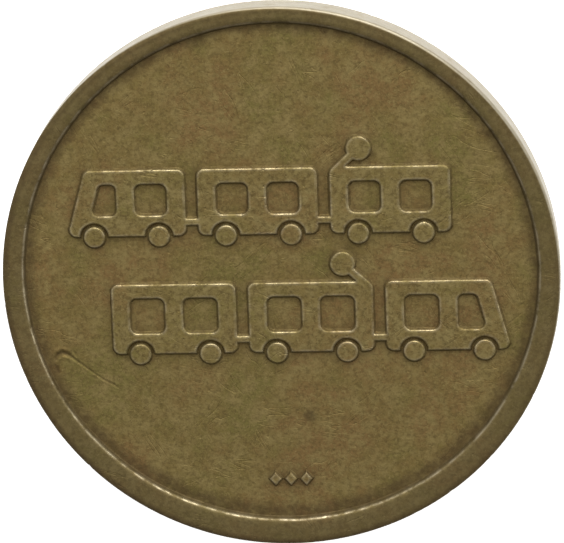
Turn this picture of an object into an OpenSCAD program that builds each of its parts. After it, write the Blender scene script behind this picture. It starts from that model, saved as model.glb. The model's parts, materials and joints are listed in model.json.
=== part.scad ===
// Struck fare token in brass, lying on its back with the front face up.
// +X is the right of the front design and +Y is its top. Millimetres.
// The origin is the centre of the underside, on the plane that the back rim rests on.
// The front shows two trolley trains passing each other in two staggered rows.

/* [Blank] */
// Diameter over the plain edge
token_d = 25; // [20:0.5:40]
// Thickness over both rims
token_t = 1.6; // [1.1:0.05:3.5]

/* [Rims] */
// Width of each rim, from the edge to the foot of its inner wall
rim_w = 0.95; // [0.75:0.05:1.6]
// Height of each rim above its field
rim_h = 0.28; // [0.2:0.02:0.4]
// How far the inner wall of a rim slopes in over its height
rim_slope = 0.16; // [0.1:0.02:0.4]
// Radius of the outer corner of a rim
rim_round = 0.14; // [0.05:0.01:0.18]

/* [Front rows] */
// Drop from the top of a rim to the top of the raised devices
relief_drop = 0.1; // [0.02:0.01:0.12]
// Height of the upper row, from the bottom of its wheels to its roof
upper_row_h = 3.6; // [3.2:0.1:4.4]
// Height of the lower row, from the bottom of its wheels to its roof
lower_row_h = 3.8; // [3.2:0.1:4.4]
// Clear field between the two rows
row_gap = 1.7; // [1.5:0.1:2.4]
// Height of the middle of that gap above the centre of the token
row_mid = 0.75; // [0:0.05:1]
// Clear field between the leading corner of a row and the rim
nose_gap = 0.7; // [0.4:0.1:1.5]
// Clear field between the tail corner of the upper row and the rim
upper_tail_gap = 2.25; // [1:0.05:3.5]
// Clear field between the tail corner of the lower row and the rim
lower_tail_gap = 3.15; // [1:0.05:3.5]

/* [Cars] */
// Cars in each train
cars = 3; // [2:1:4]
// Gap between two cars
car_gap = 0.5; // [0.3:0.05:0.8]
// Width of the pillars beside the windows
stroke_w = 0.87; // [0.6:0.01:1.1]
// Height of the roof over the windows
roof_h = 0.7; // [0.6:0.05:1]
// Height of the side panel under the windows
panel_h = 1; // [0.95:0.05:1.2]
// Radius of the outer corners of a car
corner_r = 0.35; // [0.2:0.05:0.45]
// Radius of the window corners
window_r = 0.3; // [0.15:0.05:0.4]
// How far the front of the leading car leans back
nose_lean = 0.9; // [0.4:0.1:1.4]
// Thickness of the coupling bars between the cars
coupling_w = 0.35; // [0.25:0.05:0.4]
// Height of the coupling bars above the axles
coupling_y = 0.65; // [0.6:0.05:0.7]
// Radius of the wheels
wheel_r = 0.5; // [0.35:0.05:0.6]
// Fine groove between a wheel and its car
wheel_gap = 0.12; // [0.08:0.02:0.16]
// Distance from a wheel's axle to the end of its car
axle_inset = 1.25; // [1.15:0.05:1.5]

/* [Trolley poles] */
// Radius of the round collector at the top of a pole
collector_r = 0.58; // [0.4:0.02:0.6]
// Height of the collector's centre above the roof
pole_rise = 0.8; // [0.65:0.05:0.8]
// How far back the pole leans
pole_run = 0.85; // [0.5:0.05:1.2]
// Width of the pole
pole_w = 0.42; // [0.3:0.02:0.6]
// Distance from the front of its car to the foot of the pole
pole_foot = 0.5; // [0.4:0.05:0.9]

/* [Mint mark] */
// Width of the row of three lozenges
mark_w = 2; // [1.4:0.1:2.6]
// Height of a lozenge
mark_h = 0.7; // [0.5:0.05:0.9]
// Gap between two lozenges
mark_gap = 0.1; // [0.06:0.02:0.2]
// How far the mark stands right of the middle
mark_x = 0.15; // [0:0.05:0.6]
// Clear field between the mark and the rim
mark_clear = 1.8; // [1:0.1:2.5]

/* [Back design] */
// Diameter of the pellets in the border
pellet_d = 0.6; // [0.4:0.05:0.8]
// Distance from pellet to pellet along the border
pellet_pitch = 1.5; // [1.1:0.1:2.5]
// Clear field between the pellets and the rim
pellet_gap = 0.55; // [0.3:0.05:1]
// Clear field between the pellets and the wheel
wheel_clear = 2.4; // [1:0.1:3]
// Width of the tyre of the back wheel
tyre_w = 1.1; // [0.7:0.05:1.5]
// Diameter of the hub of the back wheel
hub_d = 3.4; // [2.5:0.1:4]
// Width of a spoke
spoke_w = 0.75; // [0.5:0.05:0.9]
// Spokes in the back wheel
spokes = 8; // [5:1:10]

/* [Hidden] */
$fn = 96;
// Straight steps in a rounded corner of a car or a window
corner_steps = 8;

token_r = token_d / 2;
field_r = token_r - rim_w;
relief_h = rim_h - relief_drop;
// The two fields, as heights above the underside
back_field_z = rim_h;
front_field_z = token_t - rim_h;

// The rows, as heights above the centre of the token
upper_row_y = row_mid + row_gap / 2;
lower_row_y = row_mid - row_gap / 2 - lower_row_h;
upper_roof_y = upper_row_y + upper_row_h;

// A row reaches until its corner at height y is the given gap from the rim
function reach(y, gap) = sqrt(pow(field_r - gap, 2) - y * y);
upper_nose_x = reach(upper_roof_y, nose_gap);
upper_len = upper_nose_x + reach(upper_roof_y, upper_tail_gap);
lower_floor_y = lower_row_y + wheel_r;
lower_nose_x = reach(lower_floor_y, nose_gap);
lower_len = lower_nose_x + reach(lower_floor_y, lower_tail_gap);

// Pole on the last car of the upper train and on the middle of the lower one
upper_pole_car = cars - 1;
lower_pole_car = floor(cars / 2);

pellet_ring_r = field_r - pellet_gap - pellet_d / 2;
pellet_count = floor(2 * PI * pellet_ring_r / pellet_pitch);
back_wheel_r = pellet_ring_r - pellet_d / 2 - wheel_clear;

brass = [0.46, 0.38, 0.23];
worn_brass = [0.52, 0.43, 0.27];
dark_brass = [0.39, 0.33, 0.20];

function unit(v) = v / norm(v);
function around(points, i) = points[(i + len(points)) % len(points)];

// Corner i of a convex outline, turned into an arc: its centre, where it starts and how far it turns
function corner_arc(points, i, r) =
    let (here = around(points, i),
         to_last = unit(around(points, i - 1) - here),
         to_next = unit(around(points, i + 1) - here),
         inside = acos(to_next * to_last),
         centre = here + unit(to_next + to_last) * r / sin(inside / 2),
         start = here + to_last * r / tan(inside / 2) - centre)
    [for (k = [0 : corner_steps])
        let (angle = atan2(start.y, start.x) + k * (180 - inside) / corner_steps)
        centre + r * [cos(angle), sin(angle)]];

// A convex outline, given anticlockwise, with every corner rounded to radius r
module rounded(points, r) {
    polygon([for (i = [0 : len(points) - 1]) each corner_arc(points, i, r)]);
}

// Cross-section of a rim: rounded outer corner, flat top, sloping inner wall
module rim_profile() {
    top_inner = field_r + rim_slope;
    polygon([[field_r, 0], [token_r, 0], [token_r, rim_h - rim_round],
             [token_r - rim_round, rim_h], [top_inner, rim_h]]);
    translate([token_r - rim_round, rim_h - rim_round]) circle(r = rim_round);
}

module rim() {
    rotate_extrude() rim_profile();
}

module planchet() {
    color(brass) translate([0, 0, back_field_z]) cylinder(r = token_r, h = front_field_z - back_field_z);
}

module front_rim() {
    color(dark_brass) translate([0, 0, front_field_z]) rim();
}

module back_rim() {
    color(dark_brass) translate([0, 0, back_field_z]) mirror([0, 0, 1]) rim();
}

// Side of a car with its nose towards -X: x from 0 to len_x, y from the axles to the roof
module car_outline(len_x, row_h, lean) {
    rounded([[0, wheel_r], [len_x, wheel_r], [len_x, row_h], [lean, row_h]], corner_r);
}

// The windows of a car; the first one follows the leaning front
module car_windows(len_x, row_h, lean) {
    sill_y = wheel_r + panel_h;
    head_y = row_h - roof_h;
    // The front edge of the first window runs along the leaning front
    function front_x(y) = lean * (y - wheel_r) / (row_h - wheel_r) + stroke_w;
    window_w = (len_x - 3 * stroke_w) / 2;
    back_x = len_x - stroke_w - window_w;
    middle_x = back_x - stroke_w;
    rounded([[front_x(sill_y), sill_y], [middle_x, sill_y], [middle_x, head_y], [front_x(head_y), head_y]],
            min(window_r, (middle_x - front_x(head_y)) / 3));
    rounded([[back_x, sill_y], [back_x + window_w, sill_y], [back_x + window_w, head_y], [back_x, head_y]],
            window_r);
}

module car(len_x, row_h, lean) {
    difference() {
        car_outline(len_x, row_h, lean);
        car_windows(len_x, row_h, lean);
        for (axle_x = [axle_inset, len_x - axle_inset]) {
            translate([axle_x, wheel_r]) circle(r = wheel_r + wheel_gap);
        }
    }
}

// A pole that leans back from the roof to its round collector
module trolley_pole() {
    angle = atan2(pole_rise, pole_run);
    rotate(angle) translate([-roof_h / 2, -pole_w / 2]) square([norm([pole_run, pole_rise]) + roof_h / 2, pole_w]);
    translate([pole_run, pole_rise]) circle(r = collector_r);
}

// A train with its nose at x = 0, heading for -X, its wheels standing on y = 0
module train(len_x, row_h, pole_car) {
    car_len = (len_x - (cars - 1) * car_gap) / cars;
    pitch = car_len + car_gap;
    for (i = [0 : cars - 1]) {
        translate([i * pitch, 0]) car(car_len, row_h, i == 0 ? nose_lean : 0);
    }
    for (i = [1 : cars - 1]) {
        translate([i * pitch - car_gap - stroke_w / 2, wheel_r + coupling_y - coupling_w / 2])
            square([car_gap + stroke_w, coupling_w]);
    }
    translate([pole_car * pitch + pole_foot, row_h]) trolley_pole();
}

module train_wheels(len_x) {
    car_len = (len_x - (cars - 1) * car_gap) / cars;
    for (i = [0 : cars - 1]) {
        for (axle_x = [axle_inset, car_len - axle_inset]) {
            translate([i * (car_len + car_gap) + axle_x, wheel_r]) circle(r = wheel_r);
        }
    }
}

// Raises a flat design from the front field
module on_front() {
    translate([0, 0, front_field_z]) linear_extrude(relief_h) children();
}

// Raises a flat design from the back field
module on_back() {
    translate([0, 0, back_field_z - relief_h]) linear_extrude(relief_h) children();
}

module at_upper_row() {
    on_front() translate([-upper_nose_x, upper_row_y]) children();
}

module at_lower_row() {
    on_front() translate([lower_nose_x, lower_row_y]) mirror([1, 0]) children();
}

module upper_train() {
    color(worn_brass) at_upper_row() train(upper_len, upper_row_h, upper_pole_car);
}

module upper_wheels() {
    color(worn_brass) at_upper_row() train_wheels(upper_len);
}

module lower_train() {
    color(worn_brass) at_lower_row() train(lower_len, lower_row_h, lower_pole_car);
}

module lower_wheels() {
    color(worn_brass) at_lower_row() train_wheels(lower_len);
}

// Three lozenges side by side near the foot of the face
module mint_mark() {
    lozenges = 3;
    lozenge_w = (mark_w - (lozenges - 1) * mark_gap) / lozenges;
    mark_y = -(field_r - mark_clear - mark_h / 2);
    color(worn_brass) on_front() for (i = [0 : lozenges - 1]) {
        translate([mark_x + (i - (lozenges - 1) / 2) * (lozenge_w + mark_gap), mark_y])
            polygon([[-lozenge_w / 2, 0], [0, -mark_h / 2], [lozenge_w / 2, 0], [0, mark_h / 2]]);
    }
}

// A spoked wheel in the middle of the back
module back_wheel() {
    color(worn_brass) on_back() {
        difference() {
            circle(r = back_wheel_r);
            circle(r = back_wheel_r - tyre_w);
        }
        circle(d = hub_d);
        for (i = [0 : spokes - 1]) {
            rotate(i * 360 / spokes) translate([0, -spoke_w / 2]) square([back_wheel_r - tyre_w / 2, spoke_w]);
        }
    }
}

module back_pellets() {
    color(worn_brass) on_back() for (i = [0 : pellet_count - 1]) {
        rotate(i * 360 / pellet_count) translate([pellet_ring_r, 0]) circle(d = pellet_d);
    }
}

planchet();
front_rim();
back_rim();
upper_train();
upper_wheels();
lower_train();
lower_wheels();
mint_mark();
back_wheel();
back_pellets();
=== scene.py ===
# %% [markdown]
# # A struck brass fare token
# The token is a coin: a blank of brass squeezed between two dies. Rims, trains and small marks all
# rise out of the same metal, so every edge is a little soft and every hollow holds old dirt and painted
# shade.
# The solid model already settles every size. This script gives the same shapes the softness of struck
# metal and the colour of brass that has been in many pockets.
# Lengths are in millimetres here, until a mesh is finished and becomes metres.

# %% Load the frame
import json
import math

import bpy
import numpy as np
from mathutils import Matrix, Vector, geometry

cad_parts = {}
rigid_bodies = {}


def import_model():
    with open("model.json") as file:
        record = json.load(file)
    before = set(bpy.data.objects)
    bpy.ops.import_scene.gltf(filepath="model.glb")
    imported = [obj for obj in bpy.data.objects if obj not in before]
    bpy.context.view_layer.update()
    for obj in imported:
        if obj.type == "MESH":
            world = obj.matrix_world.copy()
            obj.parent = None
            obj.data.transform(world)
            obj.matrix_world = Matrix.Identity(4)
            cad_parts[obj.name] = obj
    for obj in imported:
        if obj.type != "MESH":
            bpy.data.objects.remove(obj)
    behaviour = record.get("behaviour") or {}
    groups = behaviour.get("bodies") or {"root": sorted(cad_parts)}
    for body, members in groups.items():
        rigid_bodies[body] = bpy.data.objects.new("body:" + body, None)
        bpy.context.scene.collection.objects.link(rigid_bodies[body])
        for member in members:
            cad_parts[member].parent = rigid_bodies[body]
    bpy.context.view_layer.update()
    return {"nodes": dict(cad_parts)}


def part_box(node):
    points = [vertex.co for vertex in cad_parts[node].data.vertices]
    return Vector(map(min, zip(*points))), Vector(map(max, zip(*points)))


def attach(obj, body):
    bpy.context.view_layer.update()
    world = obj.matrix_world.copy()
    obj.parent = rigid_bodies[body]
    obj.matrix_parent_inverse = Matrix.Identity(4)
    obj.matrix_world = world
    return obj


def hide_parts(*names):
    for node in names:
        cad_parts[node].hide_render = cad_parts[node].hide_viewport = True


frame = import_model()
MM = 0.001


def box_mm(node):
    """Lowest and highest corner of a solid, in millimetres."""
    low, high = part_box(node)
    return np.array(low) / MM, np.array(high) / MM


planchet_low, planchet_high = box_mm("planchet")
token_r = planchet_high[0]
token_t = box_mm("front_rim")[1][2]
front_field_z = planchet_high[2]
back_field_z = planchet_low[2]
relief_h = box_mm("upper_train")[1][2] - front_field_z
print(f"token {2 * token_r:.2f} across, {token_t:.2f} thick, devices {relief_h:.2f} high")

# %% [markdown]
# ## Camera
# A coin is looked at almost straight down. The camera stands a little towards the top and the right
# of the design, so that a sliver of the bright edge shows there. It is a long lens: the token is small
# and flat, and a wide lens would make its far side visibly smaller.

# %% Camera
camera_distance = 0.18
camera_tilt = math.radians(16.6)
camera_azimuth = math.radians(75)
camera_roll = math.radians(2.1)
sensor = 36.0
# The camera's distance is this many times the width of its view
focal_share = 85 / 12
aim = Vector((-0.032, -0.028, 0.0)) * MM

toward_camera = Vector((math.sin(camera_tilt) * math.cos(camera_azimuth),
                        math.sin(camera_tilt) * math.sin(camera_azimuth),
                        math.cos(camera_tilt)))
forward = -toward_camera
right = forward.cross(Vector((0, 1, 0))).normalized()
up = right.cross(forward)
turned_right = right * math.cos(camera_roll) - up * math.sin(camera_roll)
turned_up = right * math.sin(camera_roll) + up * math.cos(camera_roll)
camera_data = bpy.data.cameras.new("camera")
camera_data.sensor_width = sensor
camera_data.lens = focal_share * sensor
camera_data.clip_start = 0.005
camera = bpy.data.objects.new("camera", camera_data)
bpy.context.scene.collection.objects.link(camera)
camera.matrix_world = Matrix.Translation(aim + toward_camera * camera_distance) @ Matrix(
    (turned_right, turned_up, toward_camera)).transposed().to_4x4()
bpy.context.scene.camera = camera
print(f"lens {camera_data.lens:.0f} mm at {camera_distance:.2f} m")

# %% [markdown]
# ## Table and light
# Worn metal shows its surroundings more than its own colour, so the light is built as surroundings:
# a white room for the flat face, brighter towards the top of the design, and one wide soft window beyond
# it. Every edge that leans towards the window draws a thin bright line, and every edge that leans away
# is dark. A weaker window at the right lights the side, and a weak ceiling light fills the hollows.

# %% Table, room and lights
table_size = 1.2
paper_glow = 0.75
# Brightness of the room towards the bottom of the design, and towards its top
room_dim, room_bright = 0.18, 0.62


def lit_paper(name, colour, glow):
    """White paper lit from below as well, as on a light table, so that the token throws no grey shadow."""
    material = bpy.data.materials.new(name)
    material.use_nodes = True
    shader = material.node_tree.nodes["Principled BSDF"]
    shader.inputs["Base Color"].default_value = (*colour, 1)
    shader.inputs["Roughness"].default_value = 0.8
    shader.inputs["Emission Color"].default_value = (1, 1, 1, 1)
    shader.inputs["Emission Strength"].default_value = glow
    return material


table_mesh = bpy.data.meshes.new("table")
half = table_size / 2
table_mesh.from_pydata([(-half, -half, 0), (half, -half, 0), (half, half, 0), (-half, half, 0)],
                       [], [(0, 1, 2, 3)])
table = bpy.data.objects.new("table", table_mesh)
bpy.context.scene.collection.objects.link(table)
table.data.materials.append(lit_paper("white_paper", (0.8, 0.8, 0.8), paper_glow))


def soft_light(name, place, size, power):
    """A rectangular lamp of width and height size that faces the token."""
    data = bpy.data.lights.new(name, "AREA")
    data.shape = "RECTANGLE"
    data.size, data.size_y = size
    data.energy = power
    lamp = bpy.data.objects.new(name, data)
    bpy.context.scene.collection.objects.link(lamp)
    lamp.location = place
    lamp.rotation_euler = (-Vector(place)).to_track_quat("-Z", "Y").to_euler()


world = bpy.data.worlds.new("white_room")
world.use_nodes = True
background = world.node_tree.nodes["Background"]
background.inputs["Color"].default_value = (1, 1, 1, 1)
heading = world.node_tree.nodes.new("ShaderNodeSeparateXYZ")
brightness = world.node_tree.nodes.new("ShaderNodeMapRange")
brightness.inputs["From Min"].default_value = -1.0
brightness.inputs["From Max"].default_value = 1.0
brightness.inputs["To Min"].default_value = room_dim
brightness.inputs["To Max"].default_value = room_bright
room_place = world.node_tree.nodes.new("ShaderNodeTexCoord")
world.node_tree.links.new(room_place.outputs["Generated"], heading.inputs[0])
world.node_tree.links.new(heading.outputs["Y"], brightness.inputs["Value"])
world.node_tree.links.new(brightness.outputs["Result"], background.inputs["Strength"])
bpy.context.scene.world = world
bpy.context.scene.view_settings.view_transform = "Standard"
soft_light("window", (0.07, 0.50, 0.40), (0.65, 0.4), 5.2)
soft_light("ceiling", (-0.15, 0.05, 0.6), (0.5, 0.5), 0.8)
soft_light("side_window", (0.50, 0.05, 0.26), (0.35, 0.3), 0.6)
print("white table, white room, two windows and a ceiling light")

# %% [markdown]
# ## Meshes from the solids
# The raised devices could be drawn again by hand, but then they could drift from the design. Instead
# each one starts from the flat top of its own solid: the outline of that top is read, and the distance
# from every point of a fine grid to the outline says how high the struck metal stands there.

# %% Outline of a solid's flat top
UP, DOWN = 1, -1
# A corner this close to the flat face's height belongs to it
same_level = 0.002


def flat_outline(node, side):
    """Ends of the straight runs around the flat face of a solid that looks up or down, as two lists."""
    mesh = frame["nodes"][node].data
    heights = np.array([v.co.z for v in mesh.vertices])
    level = heights.max() if side == UP else heights.min()
    seen = {}
    for face in mesh.polygons:
        corners = [mesh.vertices[i].co for i in face.vertices]
        if all(abs(c.z - level) < same_level * MM for c in corners):
            keys = [(round(c.x / MM, 4), round(c.y / MM, 4)) for c in corners]
            for a, b in zip(keys, keys[1:] + keys[:1]):
                edge = (min(a, b), max(a, b))
                seen[edge] = seen.get(edge, 0) + 1
    rim_edges = [e for e, times in seen.items() if times == 1 and e[0] != e[1]]
    return np.array([e[0] for e in rim_edges]), np.array([e[1] for e in rim_edges])


def inside_distance(points, starts, ends, batch=1500):
    """Distance from each point to the outline: above zero inside the metal, below zero outside."""
    found = np.empty(len(points))
    along = ends - starts
    length2 = (along ** 2).sum(1)
    for first in range(0, len(points), batch):
        p = points[first:first + batch, None, :]
        share = np.clip(((p - starts) * along).sum(2) / length2, 0, 1)
        gap = p - starts - share[..., None] * along
        near = np.sqrt((gap ** 2).sum(2).min(1))
        y = p[..., 1]
        spans = (starts[:, 1] > y) != (ends[:, 1] > y)
        rise = np.where(along[:, 1] == 0, 1, along[:, 1])
        crossing = starts[:, 0] + (y - starts[:, 1]) / rise * along[:, 0]
        odd = (spans & (p[..., 0] < crossing)).sum(1) % 2
        found[first:first + batch] = np.where(odd == 1, near, -near)
    return found


outlines = {name: flat_outline(name, UP)
            for name in ("upper_train", "upper_wheels", "lower_train", "lower_wheels", "mint_mark")}
print({name: len(starts) for name, (starts, ends) in outlines.items()})

# %% Helpers for making a piece
def make_piece(name, vertices, faces, masks):
    """A piece in metres from points in millimetres, shaded smooth, with its masks on its points."""
    mesh = bpy.data.meshes.new(name)
    mesh.from_pydata((np.asarray(vertices) * MM).tolist(), [], faces)
    for mask, values in masks.items():
        layer = mesh.attributes.new(mask, "FLOAT", "POINT")
        layer.data.foreach_set("value", np.asarray(values, np.float32))
    mesh.polygons.foreach_set("use_smooth", [True] * len(mesh.polygons))
    mesh.update()
    piece = bpy.data.objects.new(name, mesh)
    bpy.context.scene.collection.objects.link(piece)
    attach(piece, "root")
    print(f"{name}: {len(mesh.vertices)} points, {len(mesh.polygons)} faces")
    return piece


def waves(x, y, wavelength, seed, count=9):
    """Smooth unevenness from -1 to 1: a few sine waves of about one wavelength in chance directions."""
    chance = np.random.default_rng(seed)
    total = np.zeros_like(x, dtype=float)
    for _ in range(count):
        heading = chance.uniform(0, 2 * math.pi)
        pitch = wavelength * chance.uniform(0.7, 1.5)
        phase = chance.uniform(0, 2 * math.pi)
        total += np.sin(2 * math.pi * (x * math.cos(heading) + y * math.sin(heading)) / pitch + phase)
    return total / (1.6 * math.sqrt(count))


def layered_waves(x, y, *layers):
    """Waves of several lengths added up; each layer is a height, a wavelength and a seed."""
    return sum(height * waves(x, y, wavelength, seed) for height, wavelength, seed in layers)


def metal_flow(x, y):
    """How unevenly the metal filled the die, in millimetres."""
    return layered_waves(x, y, (0.005, 3.1, 11), (0.0022, 0.9, 12), (0.001, 0.37, 13))


print(f"metal flow at the centre {metal_flow(np.zeros(1), np.zeros(1))[0]:.4f} mm")

# %% [markdown]
# ## The edge of struck metal
# A die squeezes metal up into its hollows. The metal never fills a sharp corner, so a raised device
# has a small fillet at its foot, a wall that leans a little so that it leaves the die, and a rounded
# shoulder below its flat top. A bevel could round the solid's edges, but where a bar runs into a car
# body the bevel folds over itself. A height worked out from the distance to the outline never does.

# %% Height across a struck edge
wall_lean = math.radians(18)
foot_radius = 0.03
shoulder_radius = 0.06
# The metal past the foot dips under the field, this far out and at this slope
foot_reach = 0.10
dip_slope = 0.25
# A device's top falls away towards its edge by crown_drop, over crown_width
crown_drop = 0.007
crown_width = 0.45


def edge_profile(height, steps=24):
    """A struck edge from its foot to its flat top: distances inwards from the outline, and heights."""
    turn = np.linspace(0, math.pi / 2 - wall_lean, steps)
    foot_in = foot_radius * np.sin(turn)
    foot_up = foot_radius * (1 - np.cos(turn))
    top_in = -shoulder_radius * np.sin(turn[::-1])
    top_up = height - shoulder_radius * (1 - np.cos(turn[::-1]))
    top_in += foot_in[-1] + (top_up[0] - foot_up[-1]) * math.tan(wall_lean) - top_in[0]
    middle = (foot_in[-1] + top_in[0]) / 2
    return np.concatenate([foot_in, top_in]) - middle, np.concatenate([foot_up, top_up])


def struck_height(inside, height):
    """Height of the metal above the field, at a distance inside (or, below zero, outside) an outline."""
    across, up_to = edge_profile(height)
    crown = crown_drop * np.clip(1 - inside / crown_width, 0, 1) ** 2
    dip = dip_slope * np.clip(across[0] - inside, 0, None)
    return np.interp(inside, across, up_to) - crown * (inside > 0) - dip


across, up_to = edge_profile(relief_h)
print(f"a struck edge is {across[-1] - across[0]:.3f} mm wide from foot to flat top")

# %% Parts of an outline that lie apart
def outline_parts(starts, ends):
    """The runs of an outline as separate shapes; a hole stays with the shape around it."""
    loop_at = {}
    for run, corners in enumerate(zip(map(tuple, starts), map(tuple, ends))):
        joined = {id(loop_at[c]): loop_at[c] for c in corners if c in loop_at}
        loop = [run]
        for other in joined.values():
            loop += other
        for member in loop:
            loop_at[tuple(starts[member])] = loop
            loop_at[tuple(ends[member])] = loop
    loops = list({id(loop): loop for loop in loop_at.values()}.values())
    spans = [(np.minimum(starts[loop], ends[loop]).min(0),
              np.maximum(starts[loop], ends[loop]).max(0), loop) for loop in loops]
    spans.sort(key=lambda s: -np.prod(s[1] - s[0]))
    shapes = []
    for low, high, loop in spans:
        home = next((s for s in shapes if (low >= s[0]).all() and (high <= s[1]).all()), None)
        if home:
            home[2].extend(loop)
        else:
            shapes.append((low, high, list(loop)))
    return [(starts[loop], ends[loop]) for _, _, loop in shapes]


print({name: len(outline_parts(*outline)) for name, outline in outlines.items()})

# %% A closed mesh from a grid of heights
def fill_corner_touches(cells):
    """Fill one of two open cells where two filled ones touch only at a corner."""
    for _ in range(4):
        a, b, c, d = cells[:-1, :-1], cells[:-1, 1:], cells[1:, :-1], cells[1:, 1:]
        falling = a & d & ~b & ~c
        rising = b & c & ~a & ~d
        cells[:-1, 1:] |= falling
        cells[:-1, :-1] |= rising
        if not (falling.any() or rising.any()):
            break
    return cells


def solid_from_grid(grid_x, grid_y, heights, cells, floor_z):
    """Points and faces of the grid's filled cells, with walls down to a flat underside at floor_z."""
    rows, columns = grid_x.shape
    number = np.arange(rows * columns).reshape(rows, columns)
    a, b = number[:-1, :-1][cells], number[:-1, 1:][cells]
    c, d = number[1:, 1:][cells], number[1:, :-1][cells]
    used = np.unique(np.concatenate([a, b, c, d]))
    place = np.full(rows * columns, -1)
    place[used] = np.arange(len(used))
    top = place[np.stack([a, b, c, d], 1)]
    points = np.stack([grid_x.ravel()[used], grid_y.ravel()[used], heights.ravel()[used]], 1)
    sides = np.concatenate([top[:, [0, 1]], top[:, [1, 2]], top[:, [2, 3]], top[:, [3, 0]]])
    codes = sides[:, 0] * len(used) + sides[:, 1]
    back_codes = sides[:, 1] * len(used) + sides[:, 0]
    border = sides[~np.isin(codes, back_codes)]
    border_points = np.unique(border)
    under = np.full(len(used), -1)
    under[border_points] = len(used) + np.arange(len(border_points))
    underside = points[border_points].copy()
    underside[:, 2] = floor_z
    walls = np.stack([border[:, 1], border[:, 0], under[border[:, 0]], under[border[:, 1]]], 1)
    faces = top.tolist() + walls.tolist()
    flat = [Vector(p[:2]) for p in underside]
    runs = (under[border] - len(used)).tolist()
    _, _, triangles, source, _, _ = geometry.delaunay_2d_cdt(flat, runs, [], 1, 1e-7)
    first_source = np.array([own[0] for own in source])
    corners = first_source[np.array(triangles)]
    step = grid_x[0, 1] - grid_x[0, 0]
    middle = underside[corners][:, :, :2].mean(1)
    column = ((middle[:, 0] - grid_x[0, 0]) / step).astype(int).clip(0, columns - 2)
    row = ((middle[:, 1] - grid_y[0, 0]) / step).astype(int).clip(0, rows - 2)
    corners = corners[cells[row, column]]
    one, two, three = (underside[corners[:, n]] for n in range(3))
    looks_up = np.cross(two - one, three - one)[:, 2] > 0
    corners[looks_up] = corners[looks_up][:, ::-1]
    faces += (corners + len(used)).tolist()
    return np.concatenate([points, underside]), faces


# %% A raised device from its solid
# How far below the field a device's underside lies, so that no gap shows at its foot
sunk = 0.06
# The top's unevenness grows from nothing at the outline to its full size this far in
even_edge = 0.1
# Rubbing starts at rub_from of the height and is full rub_rise further up. From rub_edge inside the
# outline it fades over rub_fade
rub_from, rub_rise = 0.45, 0.3
rub_edge, rub_fade = 0.05, 0.12
# Dirt and painted shade thin out from the foot up to this share of the height
dirt_and_shade_top = 0.55


def raised_device(name, node, side, grid_step, extra_darkening=0.0):
    """The struck form of one solid: soft edges and a slightly crowned top, closed underneath."""
    starts, ends = flat_outline(node, side)
    field = front_field_z if side == UP else token_t - back_field_z
    low, high = box_mm(node)
    height = high[2] - low[2]
    points, faces = [], []
    for part_starts, part_ends in outline_parts(starts, ends):
        ends_and_starts = np.concatenate([part_starts, part_ends])
        grid_low = ends_and_starts.min(0) - foot_reach - grid_step
        reach = ends_and_starts.max(0) + foot_reach + grid_step - grid_low
        columns, rows = (np.ceil(reach / grid_step).astype(int) + 1)
        grid_x, grid_y = np.meshgrid(grid_low[0] + grid_step * np.arange(columns),
                                     grid_low[1] + grid_step * np.arange(rows))
        flat = np.column_stack([grid_x.ravel(), grid_y.ravel()])
        inside = inside_distance(flat, part_starts, part_ends).reshape(grid_x.shape)
        solid = inside > -foot_reach
        cells = solid[:-1, :-1] & solid[:-1, 1:] & solid[1:, :-1] & solid[1:, 1:]
        uneven = metal_flow(grid_x, grid_y) * np.clip(inside / even_edge, 0, 1)
        level = field + struck_height(inside, height) + np.minimum(uneven, 0)
        part_points, part_faces = solid_from_grid(grid_x, grid_y, level, fill_corner_touches(cells),
                                                  field - sunk)
        faces += [[point + len(points) for point in face] for face in part_faces]
        points += part_points.tolist()
    points = np.array(points)
    share = (points[:, 2] - field) / height
    inside = inside_distance(points[:, :2], starts, ends)
    rub = np.clip((share - rub_from) / rub_rise, 0, 1)
    rub = rub * np.clip(1 - (inside - rub_edge) / rub_fade, 0, 1)
    # Darker towards each device's foot: dirt and painted shade. A device can be darkened all over besides.
    dirt_and_shade = np.clip(1 - share / dirt_and_shade_top + extra_darkening, 0, 1)
    if side == DOWN:
        points[:, 2] = token_t - points[:, 2]
        faces = [face[::-1] for face in faces]
    piece = make_piece(name, points, faces, {"rub": rub, "dirt_and_shade": dirt_and_shade, "milled_and_sheen": 0 * rub})
    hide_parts(node)


raised_device("raised_upper_train", "upper_train", UP, 0.03)
raised_device("raised_lower_train", "lower_train", UP, 0.03)
raised_device("raised_upper_wheels", "upper_wheels", UP, 0.025)
raised_device("raised_lower_wheels", "lower_wheels", UP, 0.025)
# The mint mark is darkened all over.
raised_device("raised_mint_mark", "mint_mark", UP, 0.02, extra_darkening=0.8)
raised_device("raised_back_wheel", "back_wheel", DOWN, 0.045)
raised_device("raised_back_pellets", "back_pellets", DOWN, 0.035)

# %% [markdown]
# ## Where dirt and painted shade gather
# Dirt stays where fingers can't rub, and painted shade is laid in the same places: along the foot of every
# device, in the small spaces between bars and wheels, and in the corner below the rim. The outlines are drawn
# onto a fine map of the field and the map is blurred: a little blur gives the dirt and painted shade along
# the edges, a lot gives the darker crowded places.

# %% Map of how crowded the field is
map_step = 0.05
map_half = 12.6
map_count = int(2 * map_half / map_step) + 1
# Blur widths: the dirt and painted shade along an edge, and those of a crowded place
edge_blur = 0.16
crowd_blur = 0.5


def blurred(picture, width):
    """A map blurred by a bell curve of the given width, in millimetres."""
    reach = int(3 * width / map_step)
    bell = np.exp(-0.5 * (np.arange(-reach, reach + 1) * map_step / width) ** 2)
    bell /= bell.sum()
    rows = np.apply_along_axis(np.convolve, 1, picture, bell, "same")
    return np.apply_along_axis(np.convolve, 0, rows, bell, "same")


def outline_map(nodes, side):
    """A map with every outline of the given solids drawn on it."""
    picture = np.zeros((map_count, map_count))
    for node in nodes:
        starts, ends = flat_outline(node, side)
        for share in np.linspace(0, 1, 41):
            at = ((starts * (1 - share) + ends * share + map_half) / map_step).round().astype(int)
            picture[at[:, 1], at[:, 0]] = 1
    return picture


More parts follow.
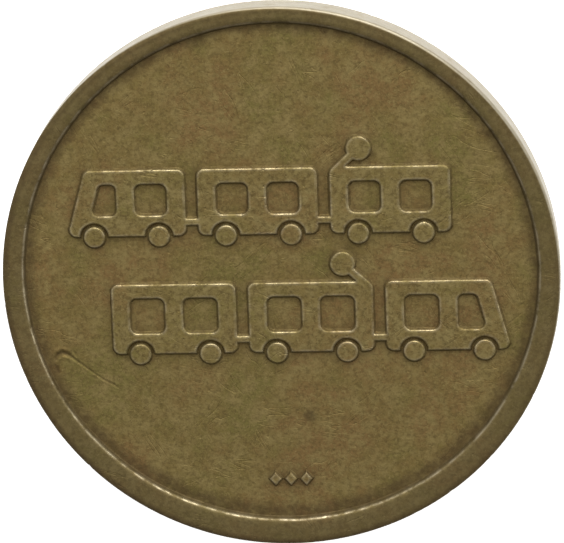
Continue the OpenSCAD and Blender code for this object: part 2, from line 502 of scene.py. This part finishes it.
def read_map(picture, x, y):
    """The map's value at each point, blended between its four nearest cells."""
    across = np.clip((x + map_half) / map_step, 0, map_count - 1.001)
    along = np.clip((y + map_half) / map_step, 0, map_count - 1.001)
    column, row = across.astype(int), along.astype(int)
    right_share, top_share = across - column, along - row
    lower = picture[row, column] * (1 - right_share) + picture[row, column + 1] * right_share
    upper = picture[row + 1, column] * (1 - right_share) + picture[row + 1, column + 1] * right_share
    return lower * (1 - top_share) + upper * top_share


front_lines = outline_map(outlines, UP)
back_lines = outline_map(("back_wheel", "back_pellets"), DOWN)
edge_dirt_and_shade = {UP: blurred(front_lines, edge_blur), DOWN: blurred(back_lines, edge_blur)}
crowd_dirt_and_shade = {UP: blurred(front_lines, crowd_blur), DOWN: blurred(back_lines, crowd_blur)}
print(f"dirt maps {map_count} cells square, edge {edge_dirt_and_shade[UP].max():.2f}, "
      f"crowd {crowd_dirt_and_shade[UP].max():.2f}")

# %% [markdown]
# ## Gouge in the field
# Something sharp has dug a hook into the field at the lower left and slipped away to the right, with a
# thin scratch behind it. A short heel mark lies below the hook and a small tick above the scratch. All
# are carved into the mesh: grooves whose width and depth change along a path, with a low lip of
# pushed-up metal on each side.

# %% Carving the gouge
# Along each path: x, y, half width and depth
gouge_path = np.array([
    (-10.36, -3.76, 0.05, 0.020), (-10.31, -3.58, 0.08, 0.050), (-10.19, -3.41, 0.10, 0.070),
    (-10.01, -3.32, 0.11, 0.080), (-9.84, -3.36, 0.10, 0.072), (-9.65, -3.48, 0.07, 0.050),
    (-9.38, -3.69, 0.05, 0.038), (-9.00, -3.98, 0.042, 0.032), (-8.55, -4.34, 0.040, 0.028),
    (-8.10, -4.66, 0.040, 0.026), (-7.75, -4.84, 0.050, 0.030), (-7.50, -5.02, 0.040, 0.016)])
heel_path = np.array([
    (-10.33, -3.86, 0.04, 0.018), (-10.27, -4.06, 0.07, 0.050), (-10.19, -4.27, 0.05, 0.028)])
tick_path = np.array([
    (-9.50, -3.22, 0.03, 0.012), (-9.41, -3.36, 0.05, 0.032), (-9.37, -3.50, 0.03, 0.014)])
# The lip beside a groove: its height as a share of the depth, its place and width in half widths
lip_share, lip_place, lip_width = 0.22, 1.9, 0.7


def groove_depth(x, y, path):
    """How deep a groove along the path is at each point; below zero on the lips beside it."""
    depth = np.zeros_like(x)
    lip = np.zeros_like(x)
    for (ax, ay, aw, ad), (bx, by, bw, bd) in zip(path[:-1], path[1:]):
        length2 = (bx - ax) ** 2 + (by - ay) ** 2
        share = np.clip(((x - ax) * (bx - ax) + (y - ay) * (by - ay)) / length2, 0, 1)
        away = np.hypot(x - ax - share * (bx - ax), y - ay - share * (by - ay))
        width = aw + share * (bw - aw)
        deep = ad + share * (bd - ad)
        depth = np.maximum(depth, deep * np.exp(-(away / width) ** 2))
        from_lip = (away - lip_place * width) / (lip_width * width)
        lip = np.maximum(lip, lip_share * deep * np.exp(-from_lip ** 2))
    return depth - lip * (depth < 0.3 * depth.max())


hook_depth = groove_depth(np.array([-10.01]), np.array([-3.32]), gouge_path)[0]
print(f"gouge {hook_depth:.3f} mm deep at its hook")

# %% [markdown]
# ## Planchet
# The planchet is the blank itself: two fields and the plain side. It is turned as rings of points, which
# follow the round edge exactly, with closer rings and closer points where the gouge is.

# %% Rings into a surface
def ring_faces(rings, count, closed=False):
    """Four-cornered faces between rings of count points each; closed joins the last ring to the first."""
    faces = []
    around = np.arange(count)
    onward = (around + 1) % count
    for ring in range(rings if closed else rings - 1):
        here, there = ring * count, ((ring + 1) % rings) * count
        faces += np.stack([here + around, there + around, there + onward, here + onward], 1).tolist()
    return faces


def field_flow(x, y):
    """Unevenness of the field, in millimetres."""
    return layered_waves(x, y, (0.004, 3.4, 21), (0.0016, 1.1, 22), (0.0008, 0.45, 23))


# %% How far off centre the rims are
# The dies sat a little off centre, so each rim is narrowest towards narrow_side
narrow_side = math.radians(90)
rim_offset = 0.235
rim_extra_width = 0.075


def rim_shift(angle):
    """How much further out than its profile the inner wall of a rim stands at each angle."""
    return rim_offset * np.cos(angle - narrow_side) - rim_extra_width


print(f"inner wall moved by {rim_shift(narrow_side):+.2f} "
      f"to {rim_shift(narrow_side + math.pi):+.2f} mm")

# %% Planchet mesh
# The angles between which the gouge lies get closer points
gouge_sector = np.radians((193.5, 214.5))
close_angles = np.arange(gouge_sector[0], gouge_sector[1], math.radians(0.22))
open_angles = np.linspace(gouge_sector[1], gouge_sector[0] + 2 * math.pi, 470, endpoint=False)
angles = np.concatenate([close_angles, open_angles])
front_radii = np.concatenate([np.linspace(0.12, 8.72, 70), np.arange(8.8, 10.8, 0.045),
                              np.arange(10.84, 11.6, 0.07), (11.8, 12.1, 12.4, token_r - 0.006)])
back_radii = np.concatenate([(token_r - 0.006, 12.3, 11.8), np.linspace(11.55, 0.15, 90)])
side_levels = (front_field_z - 0.006, (front_field_z + back_field_z) / 2, back_field_z + 0.006)
profile = [(r, front_field_z, UP) for r in front_radii] + [(token_r, front_field_z, 0)]
profile += [(token_r, level, 0) for level in side_levels] + [(token_r, back_field_z, 0)]
profile += [(r, back_field_z, DOWN) for r in back_radii]
# The field's unevenness fades out towards calm_r, under the rim, over calm_width
calm_r, calm_width = 12.0, 0.5
# The uneven field lies this much deeper than the solid's on average
field_drop = 0.004
# How fast the blurred maps turn into dirt and painted shade, and how much crowding leaves none
edge_gain, crowd_gain, crowd_floor = 3.0, 4.5, 0.1
# The darker band below the rim, dirt and painted shade, starts at band_r and is full band_width further out.
# It reaches low_reach further in at the bottom of the design, and its border wavers by band_waver
band_r, band_width, low_reach, band_waver = 11.0, 0.42, 0.2, 0.12
# How strongly dirt and painted shade show along edges, in crowded places and below the rim; how dark the
# gouge is
edge_share, crowd_share, band_share, gouge_share = 0.75, 0.7, 0.95, 14
# A brown stain in the front field: its place, reach and strength
stain_x, stain_y, stain_reach, stain_strength = 1.1, -6.45, 0.25, 1.7


def planchet_mesh():
    """Points, faces and masks of the planchet, from the centre of its front to the centre of its back."""
    points, dirt_and_shade = [], []
    for radius, level, side in profile:
        x, y = radius * np.cos(angles), radius * np.sin(angles)
        z = np.full(len(angles), float(level))
        darkening = np.zeros(len(angles))
        if side:
            calm = np.clip((calm_r - radius) / calm_width, 0, 1)
            z += side * calm * (field_flow(x, y) - field_drop)
            near = np.clip(edge_gain * read_map(edge_dirt_and_shade[side], x, y), 0, 1)
            crowd = np.clip(crowd_gain * read_map(crowd_dirt_and_shade[side], x, y) - crowd_floor, 0, 1)
            low_side = low_reach * np.clip(-np.sin(angles), 0, 1)
            band_start = band_r - low_side + rim_shift(angles)
            into_band = radius - band_start + band_waver * waves(x, y, 2.1, 31)
            rim_dirt_and_shade = np.clip(into_band / band_width, 0, 1)
            # Darker along edges, in crowded places and below the rim: dirt and painted shade.
            darkening = np.clip(edge_share * near + crowd_share * crowd + band_share * rim_dirt_and_shade, 0, 1)
        if side == UP:
            groove = sum(groove_depth(x, y, path) for path in (gouge_path, heel_path, tick_path))
            z -= groove
            from_stain = np.hypot(x - stain_x, y - stain_y) / stain_reach
            stain = np.clip(stain_strength * np.exp(-from_stain ** 2), 0, 1)
            # Darker in the gouge, by its depth, and in the brown stain.
            darkening = np.clip(darkening + gouge_share * np.clip(groove, 0, None) + stain, 0, 1)
        points.append(np.column_stack([x, y, z]))
        dirt_and_shade.append(darkening)
    count = len(angles)
    faces = ring_faces(len(profile), count)
    points = np.concatenate(points + [[(0, 0, front_field_z), (0, 0, back_field_z)]])
    dirt_and_shade = np.concatenate(dirt_and_shade + [[0, 0]])
    front_centre, back_centre = len(points) - 2, len(points) - 1
    last = (len(profile) - 1) * count
    for k in range(count):
        onward = (k + 1) % count
        faces.append([front_centre, k, onward])
        faces.append([back_centre, last + onward, last + k])
    return points, faces, dirt_and_shade


points, faces, dirt_and_shade = planchet_mesh()
milled_and_sheen = (np.hypot(points[:, 0], points[:, 1]) > token_r - 0.01).astype(float)
planchet_piece = make_piece("struck_planchet", points, faces,
                            {"rub": 0 * dirt_and_shade, "dirt_and_shade": dirt_and_shade, "milled_and_sheen": milled_and_sheen})
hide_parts("planchet")

# %% [markdown]
# ## Rims
# Each rim is one ring: a flat worn top, a rounded outer corner, and an inner wall that leans and ends in
# a fillet on the field. It is turned from a profile. Small dents are then pressed into the corner and the
# shoulder, only downwards and inwards, because the ring is already as wide and as high as it may be.

# %% Profile of a rim
rim_flat_r = 12.30
rim_corner_h = 0.14
rim_points_around = 1080
# Dents press into the corner from rim_flat_r outwards, and into the shoulder around shoulder_r
corner_width = 0.12
shoulder_r, shoulder_width = 11.7, 0.08
# The inner wall moves off centre as a whole; the move fades out over still_width and ends at still_r
still_r, still_width = 12.1, 0.3
# The corner is worn pale from the first radius outwards on the side towards the light, and up to twice the
# second further out on the far side; the third is how wide the change is. The paleness is wear and also a
# painted highlight
bare_and_sheen_r, bare_and_sheen_range, bare_and_sheen_width = 12.36, 0.14, 0.05
# The shoulder is rubbed around this radius
rubbed_r, rubbed_width = 11.64, 0.045
# Darkening of the inner wall, dirt and painted shade: its share at the field, and the height over which it
# would lose a whole share
foot_most, foot_fade = 0.75, 0.15
# The corner's darkening: its share of real tarnish on the side towards the light, how much painted shade is
# added opposite, and where it starts and grows
tarnish_least, opposite_shade, tarnish_r, tarnish_width = 0.3, 0.5, 12.15, 0.12
# Points further out than this belong to the plain side
side_r = 12.49
# The side facing this way, towards the light, is worn pale furthest over its corner: wear and a painted
# highlight
bare_and_lit_side = math.radians(50)


def rim_profile():
    """Radius and height above the field, from the foot over the top and down the outside to the base."""
    rim_h = token_t - front_field_z
    foot = [(11.48, -0.02), (11.515, -0.004), (11.54, 0.008), (11.56, 0.03)]
    wall = [(11.578, 0.08), (11.595, 0.13), (11.615, 0.175), (11.64, 0.208), (11.67, 0.234),
            (11.71, 0.254)]
    top = [(11.77, 0.265), (11.84, 0.273), (11.92, 0.278), (12.0, rim_h), (12.15, rim_h)]
    turn = np.linspace(0, math.pi / 2, 11)
    corner = [(rim_flat_r + (token_r - rim_flat_r) * math.sin(a), rim_h - rim_corner_h * (1 - math.cos(a)))
              for a in turn]
    base = [(token_r, 0.006), (token_r, 0.0), (token_r - 0.006, 0.0), (12.2, -0.03), (11.7, -0.05)]
    return foot + wall + top + corner + base


def dents(count, seed, widest, deepest):
    """Chance dents around a rim: angle, half width as an angle, and depth."""
    chance = np.random.default_rng(seed)
    return [(chance.uniform(0, 2 * math.pi), chance.uniform(0.25, 1) * widest,
             chance.uniform(0.2, 1) * deepest) for _ in range(count)]


def dent_depth(angle, marks):
    """Total depth of the dents at each angle."""
    depth = np.zeros_like(angle)
    for place, width, deep in marks:
        away = np.abs((angle - place + math.pi) % (2 * math.pi) - math.pi)
        depth += deep * np.exp(-(away / width) ** 2)
    return depth


# %% Rim meshes
def struck_rim(name, node, side, seed):
    """One rim, worn and dented, as a closed ring."""
    around = np.linspace(0, 2 * math.pi, rim_points_around, endpoint=False)
    corner_dents = dent_depth(around, dents(count=18, seed=seed, widest=0.010, deepest=0.018))
    shoulder_dents = dent_depth(around, dents(count=24, seed=seed + 1, widest=0.012, deepest=0.03))
    shift = rim_shift(around)
    bare_and_sheen_from = bare_and_sheen_r + bare_and_sheen_range * (1 - np.cos(around - bare_and_lit_side))
    points, rub, dirt_and_shade, milled_and_sheen = [], [], [], []
    outline = rim_profile()
    for radius, lift in outline:
        x, y = radius * np.cos(around), radius * np.sin(around)
        in_dent = corner_dents * np.clip((radius - rim_flat_r) / corner_width, 0, 1) * (lift > 0.1)
        down_dent = shoulder_dents * math.exp(-((radius - shoulder_r) / shoulder_width) ** 2)
        inner = np.clip((still_r - radius) / still_width, 0, 1)
        wobble = layered_waves(x, y, (0.008, 4, seed + 2), (0.004, 1.2, seed + 3),
                               (0.0035, 0.38, seed + 6))
        ring_r = radius - in_dent + (shift + wobble) * inner
        worn = np.clip(layered_waves(x, y, (0.006, 2.5, seed + 4), (0.003, 0.5, seed + 5)), 0, None)
        z = front_field_z + lift - (down_dent + 0.5 * in_dent + worn) * (lift > 0.1)
        points.append(np.column_stack([ring_r * np.cos(around), ring_r * np.sin(around), z]))
        on_shoulder = math.exp(-((radius - rubbed_r) / rubbed_width) ** 2)
        rub.append(np.full(len(around), on_shoulder))
        # The inner wall darkens towards the field: dirt and painted shade.
        foot_dirt_and_shade = float(np.clip(foot_most - lift / foot_fade, 0, 1)) * (radius < shoulder_r)
        # Paler corner towards the light: worn metal and a painted highlight.
        bare_and_sheen = np.clip((radius - bare_and_sheen_from) / bare_and_sheen_width, 0, 1) * (lift > -0.001) * (radius > 12.25)
        on_side = float(radius > side_r)
        # Darker corner away from the light: tarnish everywhere, with painted shade added on the far side.
        opposite = 0.5 - 0.5 * np.cos(around - bare_and_lit_side)
        tarnish_and_shade = tarnish_least + opposite_shade * opposite
        tarnish_and_shade = tarnish_and_shade * np.clip((radius - tarnish_r) / tarnish_width, 0, 1) * (1 - bare_and_sheen)
        dirt_and_shade.append(np.clip(foot_dirt_and_shade + tarnish_and_shade, 0, 1))
        # One mask for the pale side and the corner's painted highlight.
        milled_and_sheen.append(np.clip(bare_and_sheen + on_side * (lift < 0.12), 0, 1))
    points = np.concatenate(points)
    faces = ring_faces(len(outline), len(around), closed=True)
    if side == DOWN:
        points[:, 2] = token_t - points[:, 2]
        faces = [face[::-1] for face in faces]
    masks = {"rub": np.concatenate(rub), "dirt_and_shade": np.concatenate(dirt_and_shade), "milled_and_sheen": np.concatenate(milled_and_sheen)}
    piece = make_piece(name, points, faces, masks)
    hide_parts(node)


struck_rim("struck_front_rim", "front_rim", UP, 41)
struck_rim("struck_back_rim", "back_rim", DOWN, 61)

# %% [markdown]
# ## Brass
# Old brass isn't one colour. Its skin drifts between olive and brown over a few millimetres, is mottled
# at less than a millimetre, and carries dark specks. The side, which rubs against other coins, is bare and
# pale. The shared effects are node groups: one for the skin's colour, one for the grain, pits and hair
# lines of the surface, and one that adds bare metal on rubbed edges, dirt and painted shade in hollows,
# and the pale side with a painted highlight on the rim's corner towards the light.

# %% Helpers for shader nodes
def add_node(tree, kind, values=None, **settings):
    """A shader node; values gives its sockets a number or a link, settings its other choices."""
    node = tree.nodes.new(kind)
    for setting, choice in settings.items():
        setattr(node, setting, choice)
    for socket, value in (values or {}).items():
        if isinstance(value, bpy.types.NodeSocket):
            tree.links.new(value, node.inputs[socket])
        else:
            node.inputs[socket].default_value = value
    return node


def new_group(name, inputs, outputs):
    """An empty shader node group with the named input and output sockets."""
    group = bpy.data.node_groups.new(name, "ShaderNodeTree")
    for title, (kind, value) in inputs.items():
        socket = group.interface.new_socket(title, in_out="INPUT", socket_type=kind)
        socket.default_value = value
    for title, kind in outputs.items():
        group.interface.new_socket(title, in_out="OUTPUT", socket_type=kind)
    return group, group.nodes.new("NodeGroupInput").outputs, group.nodes.new("NodeGroupOutput").inputs


COLOUR, NUMBER = "NodeSocketColor", "NodeSocketFloat"


def millimetres(tree):
    """Places on the object in millimetres, so that every pattern has its real size."""
    place = add_node(tree, "ShaderNodeTexCoord").outputs["Object"]
    return add_node(tree, "ShaderNodeVectorMath", {0: place, "Scale": 1000.0}, operation="SCALE").outputs[0]


def noise(tree, place, scale, detail, roughness=0.5):
    """Noise from 0 to 1, with scale as patches for each millimetre."""
    return add_node(tree, "ShaderNodeTexNoise", {"Vector": place, "Scale": scale, "Detail": detail,
                                                 "Roughness": roughness}).outputs["Fac"]


def ramp(tree, value, low, high, to_low=0.0, to_high=1.0):
    """A value stretched so that low to high becomes to_low to to_high, and held there beyond."""
    return add_node(tree, "ShaderNodeMapRange", {0: value, 1: low, 2: high, 3: to_low, 4: to_high}).outputs[0]


def blend(tree, share, first, second):
    """Two colours mixed."""
    node = add_node(tree, "ShaderNodeMix", data_type="RGBA")
    for socket, value in ((0, share), (6, first), (7, second)):
        if isinstance(value, bpy.types.NodeSocket):
            tree.links.new(value, node.inputs[socket])
        else:
            node.inputs[socket].default_value = value
    return node.outputs[2]


def calculate(tree, operation, first, second=0.0, clamp=False):
    """Two numbers joined by one operation."""
    return add_node(tree, "ShaderNodeMath", {0: first, 1: second}, operation=operation,
                    use_clamp=clamp).outputs[0]


# %% Skin group
def skin_group():
    """Colour of the tarnished skin: drift, mottling and dark specks."""
    group, given, result = new_group("brass_skin", {
        "Olive": (COLOUR, (0.24, 0.185, 0.062, 1)), "Brown": (COLOUR, (0.28, 0.165, 0.065, 1)),
        "Light": (COLOUR, (0.31, 0.22, 0.085, 1)), "Dark": (COLOUR, (0.165, 0.11, 0.04, 1)),
        "Mottling": (NUMBER, 1.0)}, {"Color": COLOUR})
    place = millimetres(group)
    drift = ramp(group, noise(group, place, 0.35, 4, 0.6), 0.38, 0.62)
    colour = blend(group, drift, given["Olive"], given["Brown"])
    patches = ramp(group, noise(group, place, 1.3, 4, 0.65), 0.45, 0.66)
    colour = blend(group, calculate(group, "MULTIPLY", patches, given["Mottling"]), colour, given["Light"])
    flecks = ramp(group, noise(group, place, 4.5, 4, 0.75), 0.44, 0.62)
    flecks = calculate(group, "MULTIPLY", flecks, calculate(group, "MULTIPLY", given["Mottling"], 0.6))
    colour = blend(group, flecks, colour, given["Dark"])
    salt = ramp(group, noise(group, place, 8.0, 3, 0.8), 0.52, 0.68)
    colour = blend(group, calculate(group, "MULTIPLY", salt, given["Mottling"]), colour, given["Light"])
    spots = add_node(group, "ShaderNodeTexVoronoi", {"Vector": place, "Scale": 1.3})
    near_spot = ramp(group, spots.outputs["Distance"], 0.06, 0.15, 1.0, 0.0)
    chosen = ramp(group, add_node(group, "ShaderNodeSeparateColor", {0: spots.outputs["Color"]}).outputs[0],
                  0.62, 0.7)
    speck = calculate(group, "MULTIPLY", near_spot, chosen)
    colour = blend(group, calculate(group, "MULTIPLY", speck, 0.55), colour, given["Dark"])
    group.links.new(colour, result["Color"])
    return group


# %% Grain group
def hair_lines(tree, place, heading, spacing, seed):
    """Thin straight scratches in one direction."""
    turned = add_node(tree, "ShaderNodeMapping", {"Vector": place, "Rotation": (0, 0, math.radians(heading)),
                                                  "Location": (seed, seed * 2.3, 0)}).outputs[0]
    stretched = add_node(tree, "ShaderNodeVectorMath", {0: turned, 1: (0.35, 1 / spacing, 0.35)},
                         operation="MULTIPLY").outputs[0]
    level = noise(tree, stretched, 1.0, 1)
    off = calculate(tree, "ABSOLUTE", calculate(tree, "SUBTRACT", level, 0.5))
    line = ramp(tree, off, 0.004, 0.014, 1.0, 0.0)
    patch = ramp(tree, noise(tree, turned, 0.5, 1), 0.60, 0.68)
    return calculate(tree, "MULTIPLY", line, patch)


def grain_group():
    """Height of the worn surface, from 0 to 1, and a mask of its hair lines."""
    group, given, result = new_group("worn_grain", {"Grain": (NUMBER, 0.5), "Pits": (NUMBER, 0.6),
                                                    "Lines": (NUMBER, 0.5)},
                                     {"Height": NUMBER, "Line mask": NUMBER})
    place = millimetres(group)
    fine = noise(group, place, 9.0, 3, 0.6)
    broad = noise(group, place, 2.2, 2)
    height = calculate(group, "MULTIPLY", calculate(group, "ADD", fine, broad), given["Grain"])
    cells = add_node(group, "ShaderNodeTexVoronoi", {"Vector": place, "Scale": 2.3})
    pit = ramp(group, cells.outputs["Distance"], 0.06, 0.16, 1.0, 0.0)
    kept = ramp(group, add_node(group, "ShaderNodeSeparateColor", {0: cells.outputs["Color"]}).outputs[1],
                0.7, 0.75)
    pit = calculate(group, "MULTIPLY", calculate(group, "MULTIPLY", pit, kept), given["Pits"])
    lines = hair_lines(group, place, 12, 0.5, 3.1)
    for heading, spacing, seed in ((64, 0.7, 7.7), (-38, 0.6, 12.9)):
        lines = calculate(group, "MAXIMUM", lines, hair_lines(group, place, heading, spacing, seed))
    cut = calculate(group, "MULTIPLY", lines, given["Lines"])
    height = calculate(group, "SUBTRACT", calculate(group, "SUBTRACT", height, pit), cut)
    group.links.new(height, result["Height"])
    group.links.new(lines, result["Line mask"])
    return group


# %% Wear and painted shade group
def wear_and_shade_group():
    """Bare metal on rubbed edges, dirt and painted shade in hollows, and the milled side with the rim
    corner's painted highlight, laid over the skin.
    """
    group, given, result = new_group("rub_dirt_and_shade", {
        "Skin": (COLOUR, (0.2, 0.15, 0.06, 1)), "Bare": (COLOUR, (0.84, 0.74, 0.52, 1)),
        "Dirt and shade": (COLOUR, (0.072, 0.046, 0.02, 1)), "Side": (COLOUR, (0.31, 0.275, 0.20, 1)),
        "Side streak": (COLOUR, (0.23, 0.195, 0.13, 1)),
        "Rub amount": (NUMBER, 0.6), "Dirt and shade amount": (NUMBER, 0.8), "Skin roughness": (NUMBER, 0.62)},
        {"Color": COLOUR, "Roughness": NUMBER})
    place = millimetres(group)
    rubbed = add_node(group, "ShaderNodeAttribute", attribute_name="rub").outputs["Fac"]
    # Mask of dirt and painted shade, which darkens the skin.
    dirt_and_shade_mask = add_node(group, "ShaderNodeAttribute", attribute_name="dirt_and_shade").outputs["Fac"]
    # Mask of the milled side and of the rim corner's painted highlight.
    side = add_node(group, "ShaderNodeAttribute", attribute_name="milled_and_sheen").outputs["Fac"]
    broken = ramp(group, noise(group, place, 1.4, 4, 0.65), 0.4, 0.62, 0.1, 1.0)
    rubbed = calculate(group, "MULTIPLY", rubbed, broken)
    rub_share = calculate(group, "MULTIPLY", rubbed, given["Rub amount"], clamp=True)
    clumps = ramp(group, noise(group, place, 2.4, 3, 0.6), 0.25, 0.6, 0.45, 1.0)
    dirt_and_shade_share = calculate(group, "MULTIPLY", calculate(group, "MULTIPLY", dirt_and_shade_mask, clumps),
                           given["Dirt and shade amount"], clamp=True)
    colour = blend(group, dirt_and_shade_share, given["Skin"], given["Dirt and shade"])
    colour = blend(group, rub_share, colour, given["Bare"])
    around = add_node(group, "ShaderNodeVectorMath", {0: place, 1: (0.6, 0.6, 14.0)}, operation="MULTIPLY")
    streaks = ramp(group, noise(group, around.outputs[0], 1.0, 3, 0.6), 0.35, 0.7)
    scuffs = ramp(group, noise(group, place, 1.7, 3, 0.6), 0.52, 0.7)
    side_colour = blend(group, calculate(group, "MULTIPLY", streaks, 0.55), given["Side"],
                        given["Side streak"])
    side_colour = blend(group, calculate(group, "MULTIPLY", scuffs, 0.35), side_colour, given["Skin"])
    colour = blend(group, side, colour, side_colour)
    rough = calculate(group, "ADD", given["Skin roughness"], calculate(group, "MULTIPLY", dirt_and_shade_share, 0.2))
    rough = calculate(group, "SUBTRACT", rough, calculate(group, "MULTIPLY", rubbed, 0.36))
    mottle = ramp(group, noise(group, place, 1.6, 2), 0.3, 0.7, -0.04, 0.04)
    rough = calculate(group, "ADD", rough, mottle)
    rough = calculate(group, "SUBTRACT", rough, calculate(group, "MULTIPLY", side, 0.2))
    group.links.new(colour, result["Color"])
    group.links.new(rough, result["Roughness"])
    return group


brass_skin, worn_grain, rub_dirt_and_shade = skin_group(), grain_group(), wear_and_shade_group()
print([group.name for group in (brass_skin, worn_grain, rub_dirt_and_shade)])

# %% Brass materials
def brass_material(name, skin, grain, wear_and_shade, bump_strength):
    """Tarnished brass from the three groups, each with this finish's own values."""
    material = bpy.data.materials.new(name)
    material.use_nodes = True
    tree = material.node_tree
    shader = tree.nodes["Principled BSDF"]
    shader.inputs["Metallic"].default_value = 0.85
    skin_node = add_node(tree, "ShaderNodeGroup", node_tree=brass_skin)
    grain_node = add_node(tree, "ShaderNodeGroup", node_tree=worn_grain)
    wear_and_shade_node = add_node(tree, "ShaderNodeGroup", node_tree=rub_dirt_and_shade)
    for node, values in ((skin_node, skin), (grain_node, grain), (wear_and_shade_node, wear_and_shade)):
        for title, value in values.items():
            node.inputs[title].default_value = value
    tree.links.new(skin_node.outputs["Color"], wear_and_shade_node.inputs["Skin"])
    tree.links.new(wear_and_shade_node.outputs["Color"], shader.inputs["Base Color"])
    tree.links.new(wear_and_shade_node.outputs["Roughness"], shader.inputs["Roughness"])
    bump = add_node(tree, "ShaderNodeBump", {"Height": grain_node.outputs["Height"],
                                             "Strength": bump_strength, "Distance": 0.018 * MM})
    tree.links.new(bump.outputs["Normal"], shader.inputs["Normal"])
    return material


olive, brown = (0.174, 0.141, 0.042, 1), (0.203, 0.128, 0.047, 1)
light, dark = (0.244, 0.184, 0.069, 1), (0.107, 0.074, 0.025, 1)
# The dirt and shade amount of each finish darkens its hollows: dirt and painted shade.
finishes = {
    "field_brass": brass_material("field_brass_skin",
                                  {"Olive": olive, "Brown": brown, "Light": light, "Dark": dark},
                                  {"Grain": 0.8}, {"Dirt and shade amount": 0.7}, 0.9),
    "relief_brass": brass_material("relief_brass_skin",
                                   {"Olive": (0.191, 0.153, 0.048, 1), "Brown": (0.206, 0.141, 0.051, 1),
                                    "Light": (0.239, 0.184, 0.071, 1), "Dark": dark, "Mottling": 1.25},
                                   {"Grain": 0.9, "Pits": 0.9},
                                   {"Rub amount": 0.2, "Dirt and shade amount": 0.55}, 0.9),
    "rim_brass": brass_material("rim_brass_skin",
                                {"Olive": (0.134, 0.103, 0.036, 1), "Brown": (0.145, 0.100, 0.039, 1),
                                 "Light": (0.170, 0.129, 0.053, 1), "Dark": (0.094, 0.067, 0.026, 1)},
                                {"Grain": 0.5}, {"Rub amount": 0.48}, 0.8)}
for piece in [o for o in bpy.context.scene.objects if o.name.startswith(("struck_", "raised_"))]:
    slot = {"struck_planchet": "field_brass"}.get(piece.name,
                                                  "rim_brass" if "rim" in piece.name else "relief_brass")
    piece.data.materials.append(finishes[slot])
print({name: len(material.node_tree.nodes) for name, material in finishes.items()})
